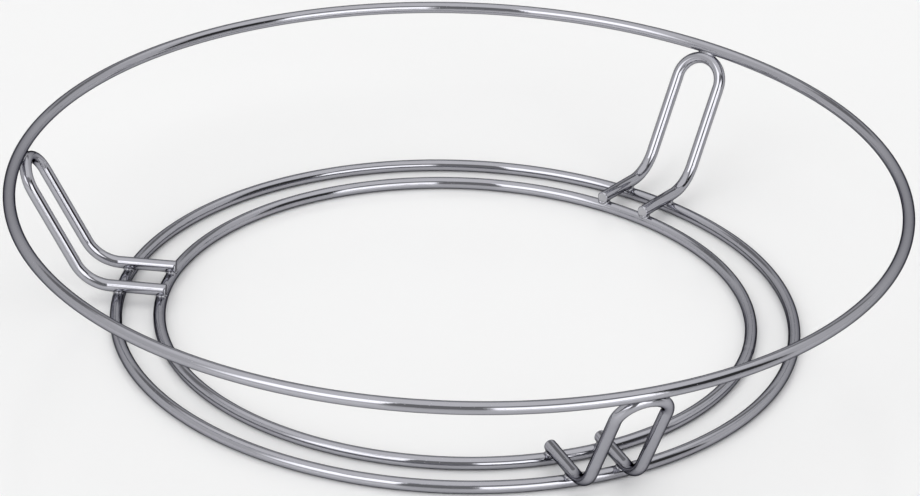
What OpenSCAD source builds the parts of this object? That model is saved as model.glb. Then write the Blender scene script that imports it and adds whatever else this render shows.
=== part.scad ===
// Wok ring for a gas hob: three closed rings and three hairpin legs of round steel wire, spot welded.
// Millimetres. The origin is at the middle of the underside, +Z is up and the front leg is at -Y.

/* [Wire] */
// Diameter of the wire in every ring and leg
wire_d = 4; // [3:0.1:5]
// Depth of the edge broken all round each cut wire end
end_chamfer = 0.35; // [0.1:0.05:0.8]
// How much the wire's radius draws down where it is bent
bend_draw = 0.02; // [0.01:0.01:0.1]

/* [Rings] */
// Outside diameter of the top ring, which the wok sits in
top_ring_od = 290; // [280:1:340]
// Outside diameter of the outer base ring
outer_base_od = 224; // [216:1:232]
// Spacing of the two base rings, centre to centre of their wires
base_ring_spacing = 14; // [8:0.5:40]
// Height from the underside of the base rings to the top of the top ring
height = 50; // [40:0.5:80]

/* [Legs] */
// Spacing of the two wires of a leg, centre to centre
leg_pitch = 16.7; // [12:0.1:40]
// Centreline radius of the bend between foot and slope
foot_bend_r = 13; // [6:0.5:16]
// Straight foot left between the outer base ring and the start of that bend
knee_gap = 0.4; // [0:0.1:4]
// Distance from the inner base ring's centreline in to the cut ends of the feet
foot_inset = 2; // [1.8:0.1:8]

/* [Welds] */
// Depth that crossing wires are pressed into one another
weld_sink = 0.3; // [0.15:0.05:0.5]
// Diameter of the bead round each crossing on the base
foot_bead_d = 3.3; // [2.8:0.1:3.8]
// Diameter of the bead between a leg and the top ring
rim_bead_d = 3.1; // [2.8:0.1:3.6]
// Length of that bead, measured along the ring
rim_bead_l = 6; // [5:0.1:9]
// Length of the taper at each end of it
rim_bead_taper = 0.8; // [0.2:0.1:1.2]

/* [Hidden] */

// Facets round a wire and round a whole ring, fine enough for the thin weld beads
wire_fn = 128;
ring_fn = 360;
$fn = wire_fn;

steel = [0.72, 0.73, 0.76];
weld_grey = [0.55, 0.55, 0.57];

// Angle of each leg round the ring, counted from +X
front_angle = -90;
right_angle = 30;
left_angle = 150;

wire_r = wire_d / 2;
bend_wire_r = wire_r - bend_draw;
lap = 0.1;    // length of each straight that runs on into the thinner bend next to it
weld_gap = wire_d - weld_sink;    // between the centrelines of two welded wires

top_r = (top_ring_od - wire_d) / 2;
outer_r = (outer_base_od - wire_d) / 2;
inner_r = outer_r - base_ring_spacing;
base_z = wire_r;
top_z = height - wire_r;

// A leg is drawn along +X. Its feet lie on the base rings and its slope aims at the top ring's centreline.
foot_z = base_z + weld_gap;
foot_end = inner_r - foot_inset;
bend_x = outer_r + wire_r + knee_gap;
bend_z = foot_z + foot_bend_r;
rim_reach = norm([top_r - bend_x, top_z - bend_z]);
slope = atan2(top_z - bend_z, top_r - bend_x) + asin(foot_bend_r / rim_reach);
slope_x = bend_x + foot_bend_r * sin(slope);
slope_z = bend_z - foot_bend_r * cos(slope);
hairpin_r = leg_pitch / 2;
slope_l = sqrt(rim_reach * rim_reach - foot_bend_r * foot_bend_r) - weld_gap - hairpin_r;

// Turns +Z to point up the slope of a leg
slope_turn = [0, 90 - slope, 0];

module ring(centre_r, z) {
    translate([0, 0, z]) rotate_extrude($fn = ring_fn)
        translate([centre_r, 0]) circle(d = wire_d, $fn = wire_fn);
}

module base_rings() {
    ring(outer_r, base_z);
    ring(inner_r, base_z);
}

module rings() {
    ring(top_r, top_z);
    base_rings();
}

// Straight foot, from its cut end with the broken edge to the start of the bend
module foot() {
    translate([foot_end, 0, foot_z]) rotate([0, 90, 0]) {
        cylinder(h = end_chamfer, r1 = wire_r - end_chamfer, r2 = wire_r);
        translate([0, 0, end_chamfer]) cylinder(h = bend_x + lap - foot_end - end_chamfer, r = wire_r);
    }
}

module foot_bend() {
    translate([bend_x, 0, bend_z]) rotate([90, 0, 0])
        rotate_extrude(angle = slope, start = -90) translate([foot_bend_r, 0]) circle(r = bend_wire_r);
}

module leg_slope() {
    translate([slope_x, 0, slope_z]) rotate(slope_turn)
        translate([0, 0, -lap]) cylinder(h = slope_l + 2 * lap, r = wire_r);
}

// Half circle that joins the two slopes under the top ring
module hairpin_end() {
    translate([slope_x, 0, slope_z]) rotate(slope_turn) translate([0, 0, slope_l]) rotate([90, 0, 90])
        rotate_extrude(angle = 180, start = 0) translate([hairpin_r, 0]) circle(r = bend_wire_r);
}

module leg_wire() {
    for (side = [-1, 1]) translate([0, side * hairpin_r, 0]) {
        foot();
        foot_bend();
        leg_slope();
    }
    hairpin_end();
}

// One leg, with a shallow seat pressed into it wherever it meets a ring
module leg(angle) {
    color(steel) difference() {
        rotate(angle) leg_wire();
        rings();
    }
}

// Beads round the four crossings of a leg's feet and the base rings
module foot_welds(angle) {
    color(weld_grey) difference() {
        rotate(angle) for (side = [-1, 1], ring_r = [inner_r, outer_r])
            translate([sqrt(ring_r * ring_r - hairpin_r * hairpin_r), side * hairpin_r, (base_z + foot_z) / 2])
                sphere(d = foot_bead_d);
        rotate(angle) leg_wire();
        base_rings();
    }
}

// Half of a rim bead, from its middle out to its tapered end
module half_bead() {
    full_l = rim_bead_l / 2 - rim_bead_taper;
    cylinder(h = full_l, d = rim_bead_d);
    translate([0, 0, full_l])
        cylinder(h = rim_bead_taper, d1 = rim_bead_d, d2 = rim_bead_d - 2 * rim_bead_taper);
}

// Bead between the end of a leg and the top ring, which it runs along
module rim_weld(angle) {
    color(weld_grey) difference() {
        rotate(angle) translate([top_r, 0, top_z]) rotate(slope_turn) translate([0, 0, -weld_gap / 2])
            for (side = [-1, 1]) rotate([side * 90, 0, 0]) half_bead();
        rotate(angle) leg_wire();
        ring(top_r, top_z);
    }
}

module top_ring() { color(steel) ring(top_r, top_z); }
module outer_base_ring() { color(steel) ring(outer_r, base_z); }
module inner_base_ring() { color(steel) ring(inner_r, base_z); }

top_ring();
outer_base_ring();
inner_base_ring();
leg(front_angle);  // front_leg
leg(right_angle);  // right_leg
leg(left_angle);  // left_leg
foot_welds(front_angle);  // front_foot_welds
foot_welds(right_angle);  // right_foot_welds
foot_welds(left_angle);  // left_foot_welds
rim_weld(front_angle);  // front_rim_weld
rim_weld(right_angle);  // right_rim_weld
rim_weld(left_angle);  // left_rim_weld
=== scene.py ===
# Wok ring: three closed rings and three hairpin legs of bright plated wire, spot welded.
# Metres. The frame's origin is at the middle of the underside, +Z is up and the front leg is at -Y.
import math
import bpy
import numpy as np
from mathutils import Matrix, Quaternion, Vector


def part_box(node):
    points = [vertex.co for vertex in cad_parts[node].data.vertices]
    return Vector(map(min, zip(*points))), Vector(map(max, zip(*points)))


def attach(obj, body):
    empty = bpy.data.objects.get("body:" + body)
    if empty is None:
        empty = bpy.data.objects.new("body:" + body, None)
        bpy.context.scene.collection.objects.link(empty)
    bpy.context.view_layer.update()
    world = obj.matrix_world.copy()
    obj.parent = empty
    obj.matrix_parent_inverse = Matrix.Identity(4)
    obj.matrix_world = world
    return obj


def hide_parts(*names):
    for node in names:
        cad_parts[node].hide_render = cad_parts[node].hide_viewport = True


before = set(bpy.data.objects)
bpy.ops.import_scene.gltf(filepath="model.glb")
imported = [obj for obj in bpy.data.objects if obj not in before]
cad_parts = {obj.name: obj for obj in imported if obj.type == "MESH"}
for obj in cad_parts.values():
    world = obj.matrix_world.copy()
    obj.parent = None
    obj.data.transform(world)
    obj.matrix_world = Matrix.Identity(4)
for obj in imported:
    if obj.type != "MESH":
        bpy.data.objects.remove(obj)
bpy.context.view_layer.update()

mm = 0.001


# Sizes read from the frame, to a twentieth of a millimetre because its meshes have facets

def fromFrame(value):
    return round(value / mm * 20) / 20 * mm


def ringSize(node):
    low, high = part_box(node)
    wire = fromFrame((high[2] - low[2]) / 2)
    return {"radius": fromFrame((high[0] - low[0]) / 2) - wire, "height": fromFrame(high[2]) - wire}


wireRadius = fromFrame((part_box("outer_base_ring")[1][2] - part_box("outer_base_ring")[0][2]) / 2)
rings = {name: ringSize(name) for name in ("top_ring", "outer_base_ring", "inner_base_ring")}
legAngles = {"front": -90.0, "right": 30.0, "left": 150.0}    # degrees from +X


def unit(vectors):
    vectors = np.asarray(vectors, float)
    return vectors / np.linalg.norm(vectors, axis=-1, keepdims=True)


def turned(points, degrees):
    # Rotates points or directions about +Z
    c, s = math.cos(math.radians(degrees)), math.sin(math.radians(degrees))
    return np.asarray(points) @ np.array([[c, s, 0], [-s, c, 0], [0, 0, 1]])


def smoothStep(x):
    x = np.clip(x, 0, 1)
    return x * x * (3 - 2 * x)


# Wire drawn along a path

wire = {
    "sides": 48,           # facets round the wire
    "bakeRows": 8,         # the long strip of a wire is laid out in this many rows for baking
    "endRound": 0.42 * mm,   # radius of the edge round a cut end
    "endDish": 0.05 * mm,    # depth of the slight hollow in a sheared face
    "endTilt": 0.03,       # size of a small uneven extra hollow in a sheared face; the face is not tilted
}


def gridFaces(rows, cols, closedRows):
    i, j = np.meshgrid(np.arange(rows if closedRows else rows - 1), np.arange(cols), indexing="ij")
    i, j = i.ravel(), j.ravel()
    up, right = (i + 1) % rows, (j + 1) % cols
    faces = np.stack([i * cols + j, i * cols + right, up * cols + right, up * cols + j], -1)
    return faces, i, j


def sweep(path, section):
    # Turns a path of stations and a function for the section's radius into rows of points
    phi = np.arange(wire["sides"]) * 2 * math.pi / wire["sides"]
    radius = section(path["arc"][:, None], phi[None, :])
    side = np.cos(phi)[None, :, None] * path["normal"][:, None] + np.sin(phi)[None, :, None] * path["across"][:, None]
    return path["centre"][:, None] + radius[..., None] * side


def endRows(centre, outward, rim, seed):
    # Rounds the edge of a cut end, then closes it with a slightly hollow face, sunk a touch further unevenly round it
    rng = np.random.default_rng(seed)
    lean = rng.uniform(0, 2 * math.pi)
    spokes = rim - centre
    length = np.linalg.norm(spokes, axis=1, keepdims=True)
    spokes = spokes / length
    sides = len(rim)
    around = np.arange(sides) * 2 * math.pi / sides
    edge = wire["endRound"]
    rows = []
    for turn in np.radians([15, 30, 45, 60, 75, 90]):
        rows.append(centre + spokes * (length - edge * (1 - math.cos(turn))) - outward * edge * (1 - math.sin(turn)))
    flat = length - edge
    for share in (0.96, 0.85, 0.65, 0.45, 0.25, 0.1):
        sink = wire["endDish"] * (1 - share * share)
        tilt = wire["endTilt"] * flat * (1 - share) * np.cos(around - lean)[:, None]
        rows.append(centre + spokes * flat * share - outward * (sink + 0 * tilt) - outward * 0.2 * np.abs(tilt))
    return rows, centre - outward * wire["endDish"]


def meshPiece(name, points, faces, uvs=None, bake=None, materials=(), slots=None):
    mesh = bpy.data.meshes.new(name)
    mesh.from_pydata([tuple(p) for p in points], [], [tuple(f) for f in faces])
    for layer, values in (("OFBake", bake), ("AlongWire", uvs)):
        if values is not None:
            mesh.uv_layers.new(name=layer).uv.foreach_set("vector", np.asarray(values, np.float32).ravel())
    for material in materials:
        mesh.materials.append(material)
    if slots is not None:
        mesh.polygons.foreach_set("material_index", np.asarray(slots, np.int32))
    mesh.polygons.foreach_set("use_smooth", np.ones(len(faces), bool))
    mesh.update()
    piece = bpy.data.objects.new(name, mesh)
    bpy.context.scene.collection.objects.link(piece)
    return piece


def wireMaps(path, rowsTotal, faceRow, faceCol, closed):
    # AlongWire runs in wire diameters along the wire and in turns round it; OFBake lays the strip in rows
    sides = wire["sides"]
    arc = np.append(path["arc"], path["length"]) if closed else path["arc"]
    a0, a1 = arc[faceRow], arc[faceRow + 1]
    v0, v1 = faceCol / sides, (faceCol + 1) / sides
    along = np.stack([a0, v0, a0, v1, a1, v1, a1, v0], -1).reshape(-1, 4, 2)
    along[..., 0] /= 2 * wireRadius
    perRow = math.ceil(rowsTotal / wire["bakeRows"])
    row = faceRow // perRow
    u0, u1 = (faceRow % perRow) / perRow, (faceRow % perRow + 1) / perRow
    gap = 0.04
    b0, b1 = [(row + gap + v * (1 - 2 * gap)) / wire["bakeRows"] for v in (v0, v1)]
    bake = np.stack([u0, b0, u0, b1, u1, b1, u1, b0], -1).reshape(-1, 4, 2) * [0.96, 1] + [0.005, 0]
    return along, bake


# Rings

ringMake = {
    "steps": 720,              # stations round a ring
    "seamWidth": 1.1 * mm,       # half the length dressed where the two ends are butt welded
    "seamDip": 0.07 * mm,        # how far the dressing goes under the wire's surface there
    "seamAngle": {"top_ring": 68.5, "outer_base_ring": -84.0, "inner_base_ring": -36.0},
}


def ringPath(radius, height, start):
    n = ringMake["steps"]
    turn = np.arange(n) * 2 * math.pi / n
    path = {
        "centre": np.stack([radius * np.cos(turn), radius * np.sin(turn), np.full(n, height)], -1),
        "across": np.stack([np.cos(turn), np.sin(turn), 0 * turn], -1),
        "normal": np.tile([0.0, 0.0, 1.0], (n, 1)),
        "arc": turn * radius,
        "length": 2 * math.pi * radius,
    }
    for key in ("centre", "across", "normal"):
        path[key] = turned(path[key], start)
    return path


def ringSection(path):
    def section(arc, phi):
        # The dressed seam is half a ring away from the path's start, so that it never wraps
        off = (arc - path["length"] / 2) / ringMake["seamWidth"]
        dressed = np.exp(-off ** 4) * ringMake["seamDip"]
        facets = 0.6 + 0.4 * np.cos(3 * phi + 1.3) * np.cos(2.1 * off + phi)
        return wireRadius - dressed * facets
    return section


def makeRing(node, name, materials):
    size = rings[node]
    path = ringPath(size["radius"], size["height"], ringMake["seamAngle"][node] + 180)
    points = sweep(path, ringSection(path)).reshape(-1, 3)
    n = ringMake["steps"]
    faces, faceRow, faceCol = gridFaces(n, wire["sides"], True)
    along, bake = wireMaps(path, n, faceRow, faceCol, True)
    return meshPiece(name, points, faces, along, bake, materials)


# Legs

leg = {
    "bendRadius": 13.0 * mm,    # centreline radius between foot and slope
    "kneeGap": 0.4 * mm,        # straight foot outside the outer base ring, up to the bend
    "sink": 0.3 * mm,           # depth that crossing wires are pressed into one another
    "drawDown": 0.02 * mm,      # how much the wire's radius draws down in a bend
    "oval": 0.02 * mm,          # flattening of the wire's section in a bend
    "blend": 2.0 * mm,          # length over which that comes and goes
    "step": 0.4 * mm,           # spacing of the stations
}


def legSizes():
    low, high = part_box("front_leg")
    sizes = dict(leg)
    sizes["hairpin"] = fromFrame((high[0] - low[0]) / 2) - wireRadius
    sizes["footEnd"] = -fromFrame(high[1])
    sizes["footHeight"] = fromFrame(low[2]) + wireRadius
    sizes["gap"] = 2 * wireRadius - leg["sink"]
    sizes["bendX"] = rings["outer_base_ring"]["radius"] + wireRadius + leg["kneeGap"]
    sizes["bendZ"] = sizes["footHeight"] + leg["bendRadius"]
    overX = rings["top_ring"]["radius"] - sizes["bendX"]
    overZ = rings["top_ring"]["height"] - sizes["bendZ"]
    reach = math.hypot(overX, overZ)
    sizes["slope"] = math.atan2(overZ, overX) + math.asin(leg["bendRadius"] / reach)
    sizes["straight"] = math.sqrt(reach ** 2 - leg["bendRadius"] ** 2) - sizes["gap"] - sizes["hairpin"]
    return sizes


legSize = legSizes()


def legPath():
    # One wire, from the cut end of a foot at +Y, up to the hairpin and back to the cut end at -Y
    s = legSize
    step = s["step"]

    def count(length):
        return max(2, round(length / step))

    foot = s["bendX"] - s["footEnd"]
    bend = s["bendRadius"] * s["slope"]
    half = math.pi * s["hairpin"]
    lengths = [foot, bend, s["straight"], half, s["straight"], bend, foot]
    slopeDir = np.array([math.cos(s["slope"]), 0, math.sin(s["slope"])])
    slopeFoot = np.array([
        s["bendX"] + s["bendRadius"] * math.sin(s["slope"]), 0, s["bendZ"] - s["bendRadius"] * math.cos(s["slope"])])
    top = slopeFoot + slopeDir * s["straight"]

    def rising(distance, side):
        # Centre, direction of travel and normal at a distance from the cut end, on one side
        if distance <= foot:
            centre, turn = np.array([s["footEnd"] + distance, 0, s["footHeight"]]), 0.0
        elif distance <= foot + bend:
            turn = (distance - foot) / s["bendRadius"]
            centre = np.array([
                s["bendX"] + s["bendRadius"] * math.sin(turn), 0, s["bendZ"] - s["bendRadius"] * math.cos(turn)])
        else:
            turn = s["slope"]
            centre = slopeFoot + slopeDir * (distance - foot - bend)
        heading = np.array([math.cos(turn), 0, math.sin(turn)])
        normal = np.array([-math.sin(turn), 0, math.cos(turn)])
        return centre + [0, side * s["hairpin"], 0], heading, normal

    rows = []
    start = 0.0
    for index, length in enumerate(lengths):
        n = count(length)
        for k in range(n + (index == 6)):
            here = start + length * k / n
            if index < 3:
                centre, heading, normal = rising(here, 1)
            elif index == 3:
                turn = math.pi * k / n
                normal = np.array([-math.sin(s["slope"]), 0, math.cos(s["slope"])])
                centre = top + s["hairpin"] * (math.sin(turn) * slopeDir + np.array([0, math.cos(turn), 0]))
                heading = math.cos(turn) * slopeDir - np.array([0, math.sin(turn), 0])
            else:
                centre, heading, normal = rising(sum(lengths) - here, -1)
                heading = -heading
            rows.append((here, centre, heading, normal))
        start += length
    arc = np.array([r[0] for r in rows])
    heading = np.array([r[2] for r in rows])
    normal = np.array([r[3] for r in rows])
    bent = np.zeros(len(arc))
    for first, last in ((1, 1), (3, 3), (5, 5)):
        low, high = sum(lengths[:first]), sum(lengths[:last + 1])
        bent += smoothStep((arc - low) / leg["blend"] + 0.5) * smoothStep((high - arc) / leg["blend"] + 0.5)
    return {
        "centre": np.array([r[1] for r in rows]), "heading": heading, "normal": normal,
        "across": np.cross(heading, normal), "arc": arc, "length": sum(lengths), "bent": bent,
        "inPlane": (arc < sum(lengths[:2]) + 0.1 * mm) | (arc > sum(lengths[:5]) - 0.1 * mm),
    }


def legSection(path):
    def section(arc, phi):
        bent = path["bent"][:, None]
        # In the knees the wire bends about its across axis, in the hairpin about its normal
        towards = np.where(path["inPlane"][:, None], np.cos(phi) ** 2, np.sin(phi) ** 2)
        return wireRadius - bent * (leg["drawDown"] + leg["oval"] * towards)
    return section


def pressedOut(points):
    # A seat in the leg where it is pressed on to a ring: points inside the ring's wire move to its surface
    for size in rings.values():
        out = np.hypot(points[:, 0], points[:, 1])
        round_ = points[:, :2] / out[:, None]
        offset = np.stack([out - size["radius"], points[:, 2] - size["height"]], -1)
        depth = np.linalg.norm(offset, axis=1)
        inside = depth < wireRadius
        moved = offset[inside] / depth[inside, None] * wireRadius
        points[inside, :2] = round_[inside] * (size["radius"] + moved[:, :1])
        points[inside, 2] = size["height"] + moved[:, 1]
    return points


def makeLeg(side, name, materials, seed):
    path = legPath()
    rows = sweep(path, legSection(path))
    first, firstHub = endRows(path["centre"][0], -path["heading"][0], rows[0], seed)
    last, lastHub = endRows(path["centre"][-1], path["heading"][-1], rows[-1], seed + 1)
    edge = wire["endRound"]
    keep = (path["arc"] > edge) & (path["arc"] < path["length"] - edge)
    lead = path["centre"][0] + path["heading"][0] * edge + rows[0] - path["centre"][0]
    trail = path["centre"][-1] - path["heading"][-1] * edge + rows[-1] - path["centre"][-1]
    grid = np.array(first[::-1] + [lead] + list(rows[keep]) + [trail] + last)
    n, sides = grid.shape[:2]
    faces, faceRow, faceCol = gridFaces(n, sides, False)
    arc = np.concatenate([
        np.linspace(-2.0, 0, len(first)) * mm, [edge], path["arc"][keep], [path["length"] - edge],
        path["length"] + np.linspace(0, 2.0, len(last)) * mm])
    along, bake = wireMaps({"arc": arc}, n - 1, faceRow, faceCol, False)
    points = turned(grid.reshape(-1, 3), legAngles[side])
    hubs = turned([firstHub, lastHub], legAngles[side])
    points = pressedOut(np.concatenate([points, hubs]))
    faces = [tuple(f) for f in faces]
    fans, fanAlong, fanBake = [], [], []
    for k in range(sides):
        fans.append(((k + 1) % sides, k, n * sides))
        fans.append(((n - 1) * sides + k, (n - 1) * sides + (k + 1) % sides, n * sides + 1))
    for k in range(2 * sides):
        u = 0.97 + 0.01 * (k % 2)
        v = k / (2 * sides)
        fanBake += [(u, v), (u, v + 0.4 / (2 * sides)), (u + 0.008, v)]
        fanAlong += [(0, v), (0, v), (0, v)]
    along = np.concatenate([along.reshape(-1, 2), fanAlong])
    bake = np.concatenate([bake.reshape(-1, 2), fanBake])
    cut = (faceRow < len(first) - 6) | (faceRow >= n - 1 - (len(last) - 6))
    slots = np.concatenate([cut.astype(int), np.ones(len(fans), int)])
    return meshPiece(name, points, faces + fans, along, bake, materials, slots)


# Welds: a collar between two wires, where a small ball rolled round the joint would touch both

weld = {
    "around": 72,               # points round a collar
    "rows": 14,                 # points from wire to wire
    "proud": 0.035 * mm,          # height of the collar's edge on the wires
    "bury": 0.35 * mm,            # how far the collar runs on inside the wires
    "footBall": 0.42 * mm,        # radius of the hollow between foot and base ring
    "rimBall": 0.55 * mm,         # the same across the top ring
    "rimTipBall": 0.14 * mm,      # and at the two ends of a rim weld
    "uneven": 0.22,             # share by which the hollow varies round a collar
}


def onLine(point, heading):
    def nearest(q):
        return point + ((q - point) @ heading)[:, None] * heading
    return nearest


def onCircle(centre, axis, radius):
    def nearest(q):
        flat = q - centre
        flat = flat - (flat @ axis)[:, None] * axis
        return centre + radius * unit(flat)
    return nearest


def collar(ringCurve, legCurve, start, axis, first, balls, guess, seed):
    # start lies between the wires, axis points from ring to leg, first is a direction square to it
    rng = np.random.default_rng(seed)
    second = np.cross(axis, first)
    theta = np.arange(weld["around"]) * 2 * math.pi / weld["around"]
    uneven = sum(rng.uniform(-1, 1) * np.cos(k * theta + rng.uniform(0, 2 * math.pi)) / k for k in (1, 2, 3, 5, 8))
    ball = balls(theta) * (1 + weld["uneven"] * uneven)
    out = np.cos(theta)[:, None] * first + np.sin(theta)[:, None] * second
    reach, lift = guess(theta), np.zeros_like(theta)
    touch = wireRadius + weld["proud"] + ball
    for _ in range(40):
        q = start + reach[:, None] * out + lift[:, None] * axis
        toRing, toLeg = q - ringCurve(q), q - legCurve(q)
        farRing, farLeg = np.linalg.norm(toRing, axis=1), np.linalg.norm(toLeg, axis=1)
        toRing, toLeg = toRing / farRing[:, None], toLeg / farLeg[:, None]
        a, b = np.sum(toRing * out, 1), toRing @ axis
        c, d = np.sum(toLeg * out, 1), toLeg @ axis
        e, f = touch - farRing, touch - farLeg
        det = a * d - b * c
        reach = reach + np.clip((e * d - b * f) / det, -0.4 * mm, 0.4 * mm)
        lift = lift + np.clip((a * f - e * c) / det, -0.4 * mm, 0.4 * mm)
    rows = []
    for inward in (1.0, 0.45):
        rows.append(q - toRing * (ball + weld["proud"] + inward * weld["bury"])[:, None])
    meet = np.arccos(np.clip(np.sum(toRing * toLeg, 1), -1, 1))
    for share in np.linspace(0, 1, weld["rows"]):
        mix = np.sin((1 - share) * meet)[:, None] * toRing + np.sin(share * meet)[:, None] * toLeg
        ripple = 0.012 * mm * np.sin(5 * theta + 9 * share + seed) * math.sin(math.pi * share)
        rows.append(q - (ball + ripple)[:, None] * mix / np.sin(meet)[:, None])
    for inward in (0.45, 1.0):
        rows.append(q - toLeg * (ball + weld["proud"] + inward * weld["bury"])[:, None])
    grid = np.array(rows)
    hubs = np.array([grid[0].mean(0), grid[-1].mean(0)])
    return grid, hubs


def collarMesh(name, collars, materials):
    points, faces = [], []
    for grid, hubs in collars:
        base = len(points)
        n, sides = grid.shape[:2]
        quads, _, _ = gridFaces(n, sides, False)
        points += list(grid.reshape(-1, 3)) + list(hubs)
        faces += [tuple(base + f for f in quad) for quad in quads]
        for k in range(sides):
            faces.append((base + (k + 1) % sides, base + k, base + n * sides))
            faces.append((base + (n - 1) * sides + k, base + (n - 1) * sides + (k + 1) % sides, base + n * sides + 1))
    return meshPiece(name, points, faces, materials=materials)


def footCollars(side, seed):
    made = []
    turn = legAngles[side]
    for way in (1, -1):
        for node in ("inner_base_ring", "outer_base_ring"):
            size = rings[node]
            y = way * legSize["hairpin"]
            x = math.sqrt(size["radius"] ** 2 - y ** 2)
            start = np.array([x, y, size["height"] + legSize["gap"] / 2])
            foot = onLine(turned([0, y, legSize["footHeight"]], turn), turned([1.0, 0, 0], turn))
            ring = onCircle(np.array([0, 0, size["height"]]), np.array([0, 0, 1.0]), size["radius"])
            made.append(collar(
                ring, foot, turned(start, turn), np.array([0, 0, 1.0]), turned([1.0, 0, 0], turn),
                lambda theta: np.full_like(theta, weld["footBall"]), lambda theta: np.full_like(theta, 2.2 * mm),
                seed + len(made)))
    return made


def rimCollar(side, seed):
    turn = legAngles[side]
    s = legSize
    slopeDir = np.array([math.cos(s["slope"]), 0, math.sin(s["slope"])])
    ringPoint = np.array([rings["top_ring"]["radius"], 0, rings["top_ring"]["height"]])
    normal = np.array([-math.sin(s["slope"]), 0, math.cos(s["slope"])])
    hairpin = onCircle(
        turned(ringPoint - slopeDir * (s["gap"] + s["hairpin"]), turn), turned(normal, turn), s["hairpin"])
    ring = onCircle(np.array([0, 0, rings["top_ring"]["height"]]), np.array([0, 0, 1.0]), rings["top_ring"]["radius"])

    def balls(theta):
        # first runs along the ring, so the hollow is smallest at theta 0 and 180 degrees
        tip = np.cos(theta) ** 2
        return weld["rimTipBall"] * tip + weld["rimBall"] * (1 - tip)

    def guess(theta):
        return (1.9 + 1.3 * np.cos(theta) ** 2) * mm

    return collar(
        ring, hairpin, turned(ringPoint - slopeDir * s["gap"] / 2, turn), turned(-slopeDir, turn),
        turned([0, 1.0, 0], turn), balls, guess, seed)


# Materials

finish = {
    "wireColour": (0.400, 0.400, 0.435, 1),
    "weldColour": (0.375, 0.375, 0.405, 1),
    "cutColour": (0.47, 0.47, 0.495, 1),
}


class Nodes:
    # A short way to write a node tree
    def __init__(self, tree):
        self.tree = tree
        tree.nodes.clear()

    def add(self, kind, inputs=(), **settings):
        node = self.tree.nodes.new(kind)
        for key, value in settings.items():
            setattr(node, key, value)
        for key, value in dict(inputs).items():
            if isinstance(value, bpy.types.NodeSocket):
                self.tree.links.new(value, node.inputs[key])
            else:
                node.inputs[key].default_value = value
        return node

    def maths(self, operation, *values):
        return self.add("ShaderNodeMath", dict(enumerate(values)), operation=operation).outputs[0]

    def ramp(self, value, low, high, toLow=0.0, toHigh=1.0):
        return self.add(
            "ShaderNodeMapRange", {0: value, 1: low, 2: high, 3: toLow, 4: toHigh},
            interpolation_type="SMOOTHSTEP").outputs[0]


def newMaterial(name):
    material = bpy.data.materials.new(name)
    material.use_nodes = True
    return material, Nodes(material.node_tree)


def platedSteel(name, colour, roughness, rough, waviness, drawn):
    # Bright plating over drawn wire: lines along the wire, a faint waviness, small pits and a light haze
    material, n = newMaterial(name)
    place = n.add("ShaderNodeTexCoord").outputs["Object"]
    along = n.add("ShaderNodeUVMap", uv_map="AlongWire").outputs["UV"]
    stretched = n.add("ShaderNodeMapping", {"Vector": along, "Scale": (0.35, 60.0, 1.0)}).outputs[0]
    lines = n.add("ShaderNodeTexNoise", {"Vector": stretched, "Scale": 1.0, "Detail": 4.0}).outputs[0]
    waves = n.add("ShaderNodeTexNoise", {"Vector": place, "Scale": 420.0, "Detail": 2.0}).outputs[0]
    haze = n.add("ShaderNodeTexNoise", {"Vector": place, "Scale": 70.0, "Detail": 5.0}).outputs[0]
    pits = n.add("ShaderNodeTexVoronoi", {"Vector": place, "Scale": 900.0}).outputs["Distance"]
    pit = n.ramp(pits, 0.05, 0.14, 1.0, 0.0)
    shade = n.maths("MULTIPLY_ADD", haze, 0.10, 0.95)
    shade = n.maths("MULTIPLY_ADD", lines, 0.06, n.maths("SUBTRACT", shade, 0.03))
    tint = n.add("ShaderNodeMix", {0: 1.0, 6: colour, 7: (1, 1, 1, 1)}, data_type="RGBA", blend_type="MULTIPLY")
    n.tree.links.new(n.add("ShaderNodeCombineColor", {0: shade, 1: shade, 2: shade}).outputs[0], tint.inputs[7])
    roughness = n.maths("MULTIPLY_ADD", haze, rough, roughness)
    roughness = n.maths("MULTIPLY_ADD", pit, 0.25, roughness)
    drawnBump = n.add(
        "ShaderNodeBump", {"Strength": drawn, "Distance": 0.02 * mm, "Height": lines})
    waveBump = n.add(
        "ShaderNodeBump", {"Strength": waviness, "Distance": 0.05 * mm, "Height": waves,
                           "Normal": drawnBump.outputs[0]})
    pitBump = n.add(
        "ShaderNodeBump", {"Strength": 0.25, "Distance": 0.02 * mm, "Height": pit, "Normal": waveBump.outputs[0]},
        invert=True)
    shader = n.add("ShaderNodeBsdfPrincipled", {
        "Base Color": tint.outputs[2], "Metallic": 1.0, "Roughness": roughness, "Normal": pitBump.outputs[0]})
    # Painted shade: a near-black edge tint darkens the reflection towards each wire's silhouette, drawing dark rims
    # along the wire
    shader.inputs["Specular Tint"].default_value = (0.03, 0.03, 0.035, 1)
    n.add("ShaderNodeOutputMaterial", {0: shader.outputs[0]})
    return material


brightWire = platedSteel("BrightPlatedWire", finish["wireColour"], 0.035, 0.05, 0.2, 0.3)
weldMetal = platedSteel("PlatedWeld", finish["weldColour"], 0.05, 0.10, 0.6, 0.0)
cutEnd = platedSteel("ShearedEnd", finish["cutColour"], 0.26, 0.15, 1.0, 0.0)


# Floor

floorLook = {"radius": 20.0, "colour": (0.94, 0.94, 0.94, 1), "roughness": 0.22}


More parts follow.
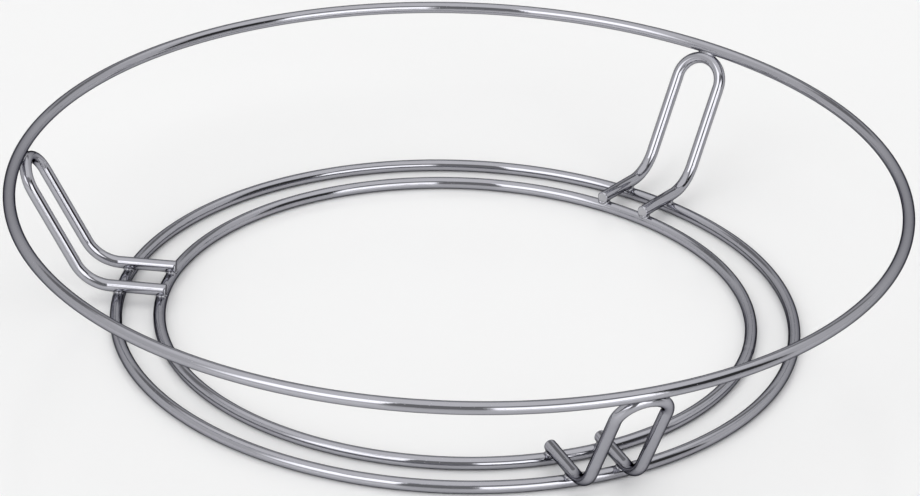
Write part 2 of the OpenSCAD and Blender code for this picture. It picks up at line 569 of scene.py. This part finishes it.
def makeFloor():
    material, n = newMaterial("PaleFloor")
    place = n.add("ShaderNodeTexCoord").outputs["Object"]
    grain = n.add("ShaderNodeTexNoise", {"Vector": place, "Scale": 260.0, "Detail": 3.0}).outputs[0]
    shade = n.add("ShaderNodeMix", {
        0: grain, 6: [c * 0.995 for c in floorLook["colour"][:3]] + [1], 7: floorLook["colour"]}, data_type="RGBA")
    bump = n.add("ShaderNodeBump", {"Strength": 0.05, "Distance": 0.1 * mm, "Height": grain}).outputs[0]
    shader = n.add("ShaderNodeBsdfPrincipled", {
        "Base Color": shade.outputs[2], "Roughness": floorLook["roughness"], "Normal": bump})
    n.add("ShaderNodeOutputMaterial", {0: shader.outputs[0]})
    count = 96
    turn = np.arange(count) * 2 * math.pi / count
    rim = np.stack([np.cos(turn), np.sin(turn), 0 * turn], -1) * floorLook["radius"]
    points = np.concatenate([rim, [[0, 0, 0]]]) - [0, 0, 0.01 * mm]
    faces = [(k, (k + 1) % count, count) for k in range(count)]
    floor = meshPiece("Floor", points, faces, materials=[material])
    return floor


# Studio light, as seen from the object. Azimuths are counted from +X and elevations from the floor, in degrees.

studio = {
    "dome": 1.08,             # plain light from above
    "walls": 0.82,            # plain light from the sides
    "wallTop": (38, 56),      # where the walls' light gives way to the dome's
    "tint": (1.0, 1.0, 1.0, 1),
    "patches": [
        # left softbox, right softbox
        {"middle": -151, "width": 43, "low": 14, "high": 53, "fade": (16, 3, 20, 4), "glow": 2.6},
        {"middle": -84, "width": 42, "low": -6, "high": 31, "fade": (4, 4, 4, 10), "glow": 2.6},
        # dark wall over the right softbox, gap round the camera, black flag, dark beam at the far side
        {"middle": -83, "width": 46, "low": 37, "high": 54, "fade": (6, 6, 4, 6), "glow": 0.36},
        {"middle": -117, "width": 25, "low": -6, "high": 50, "fade": (3, 3, 4, 6), "glow": 0.30},
        {"middle": -46, "width": 35, "low": 3, "high": 42, "fade": (6, 6, 8, 5), "glow": 0.06},
        {"middle": 78, "width": 92, "low": 34, "high": 44, "fade": (12, 12, 3, 5), "glow": 0.30},
    ],
}


def makeWorld():
    world = bpy.data.worlds.new("Studio")
    bpy.context.scene.world = world
    world.use_nodes = True
    n = Nodes(world.node_tree)
    towards = n.add("ShaderNodeTexCoord").outputs["Generated"]
    height = n.add("ShaderNodeSeparateXYZ", {0: towards}).outputs["Z"]
    elevation = n.maths("MULTIPLY", n.maths("ARCSINE", height), 180 / math.pi)
    glow = n.ramp(elevation, *studio["wallTop"], studio["walls"], studio["dome"])
    for patch in studio["patches"]:
        spun = n.add("ShaderNodeVectorRotate", {
            "Vector": towards, "Angle": math.radians(-patch["middle"])}, rotation_type="Z_AXIS").outputs[0]
        axes = n.add("ShaderNodeSeparateXYZ", {0: spun})
        azimuth = n.maths("MULTIPLY", n.maths("ARCTAN2", axes.outputs["Y"], axes.outputs["X"]), 180 / math.pi)
        half = patch["width"] / 2
        left, right, under, over = [width / 2 for width in patch["fade"]]
        mask = n.ramp(azimuth, -half - left, -half + left)
        mask = n.maths("MULTIPLY", mask, n.ramp(azimuth, half - right, half + right, 1.0, 0.0))
        mask = n.maths("MULTIPLY", mask, n.ramp(elevation, patch["low"] - under, patch["low"] + under))
        mask = n.maths("MULTIPLY", mask, n.ramp(elevation, patch["high"] - over, patch["high"] + over, 1.0, 0.0))
        change = n.maths("SUBTRACT", patch["glow"], glow)
        glow = n.maths("MULTIPLY_ADD", mask, change, glow)
    background = n.add("ShaderNodeBackground", {"Color": studio["tint"], "Strength": glow})
    n.add("ShaderNodeOutputWorld", {0: background.outputs[0]})


# Camera

camera = {
    "target": (0.68 * mm, -0.30 * mm, 25.8 * mm),
    "azimuth": -23.56, "elevation": 27.16, "roll": 1.89,    # degrees
    "distance": 1.1843,
    "lens": 143.8, "sensor": 36.0,                          # millimetres
}


def makeCamera():
    data = bpy.data.cameras.new("Camera")
    data.lens, data.sensor_width = camera["lens"], camera["sensor"]
    data.clip_start, data.clip_end = 0.05, 60.0
    seen = bpy.data.objects.new("Camera", data)
    bpy.context.scene.collection.objects.link(seen)
    bpy.context.scene.camera = seen
    a, e = math.radians(camera["azimuth"]), math.radians(camera["elevation"])
    back = Vector((math.sin(a) * math.cos(e), -math.cos(a) * math.cos(e), math.sin(e)))
    seen.rotation_mode = "QUATERNION"
    seen.location = Vector(camera["target"]) + back * camera["distance"]
    roll = Quaternion((0, 0, 1), math.radians(camera["roll"]))
    seen.rotation_quaternion = (-back).to_track_quat("-Z", "Y") @ roll


# Putting it together

def place(piece, node, slot):
    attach(piece, "root")
    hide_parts(node)


makeCamera()
makeWorld()
makeFloor()
print("camera, light and floor made")

for node, name in (("top_ring", "TopRing"), ("outer_base_ring", "OuterBaseRing"), ("inner_base_ring", "InnerBaseRing")):
    place(makeRing(node, name, [brightWire]), node, "steel_wire")
print("rings made")

for number, side in enumerate(legAngles):
    title = side.capitalize()
    place(makeLeg(side, title + "Leg", [brightWire, cutEnd], 10 + number), side + "_leg", "steel_wire")
    place(collarMesh(title + "FootWelds", footCollars(side, 40 + 10 * number), [weldMetal]),
          side + "_foot_welds", "weld_metal")
    place(collarMesh(title + "RimWeld", [rimCollar(side, 80 + number)], [weldMetal]),
          side + "_rim_weld", "weld_metal")
print("legs and welds made")

bpy.context.scene.view_settings.view_transform = "Standard"
